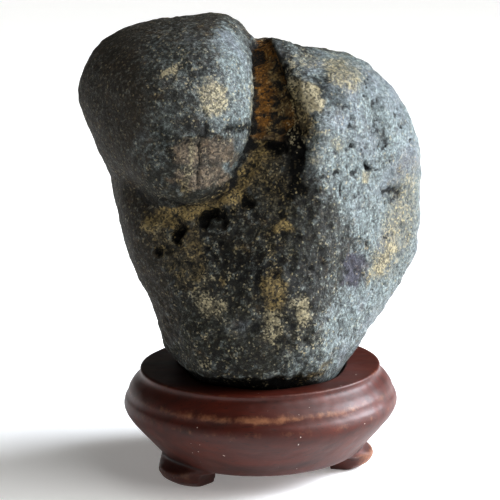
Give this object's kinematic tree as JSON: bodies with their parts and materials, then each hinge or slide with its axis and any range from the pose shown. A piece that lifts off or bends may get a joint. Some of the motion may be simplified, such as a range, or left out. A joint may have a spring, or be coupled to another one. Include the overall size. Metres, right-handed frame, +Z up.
{
  "type": "scholar's rock on stand",
  "caption": "Water-worn dark scholar's rock with an overhanging knob, a cleft and a broad shoulder, resting in a turned, footed red-brown wooden stand.",
  "frame": {"origin": "on the surface the stand rests on, under the middle of the whole object's box", "axes": "+Z up, +X to the viewer's right, +Y away from the viewer; the knob leans to -X"},
  "size_m": [0.1097, 0.0892, 0.149],
  "materials": {
    "stone": "dark blue-black water-worn stone, fine pale specks, cream and ochre patches, satin sheen on the worn faces",
    "lacquered_wood": "turned rosewood, dark red lacquer rubbed through to tan on the upper bead and the feet"
  },
  "bodies": {
    "root": {"rock": "stone", "stand": "lacquered_wood"}
  },
  "joints": []
}
